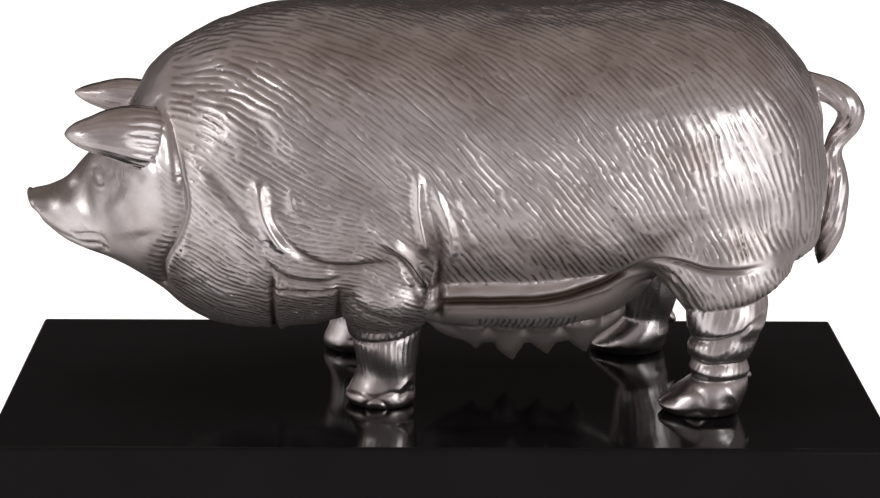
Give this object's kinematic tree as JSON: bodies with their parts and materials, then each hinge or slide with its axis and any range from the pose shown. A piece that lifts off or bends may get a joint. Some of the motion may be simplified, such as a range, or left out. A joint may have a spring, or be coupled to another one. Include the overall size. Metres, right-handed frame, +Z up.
{
  "type": "pig figurine",
  "caption": "Standing sow figurine with combed hair strokes, forward ears, skin folds, udder and a looped tail, on a low rectangular gloss plinth.",
  "frame": {"origin": "middle of the plinth's underside", "axes": "+X from the snout to the tail, +Z up, -Y towards the viewer of the pictured side"},
  "size_m": [0.5, 0.25, 0.2674],
  "materials": {
    "silver": "silver plate on cast metal, warm grey, darker in the grooves",
    "lacquer": "black high-gloss lacquer"
  },
  "bodies": {
    "root": {"pig": "silver", "plinth": "lacquer"}
  },
  "joints": []
}
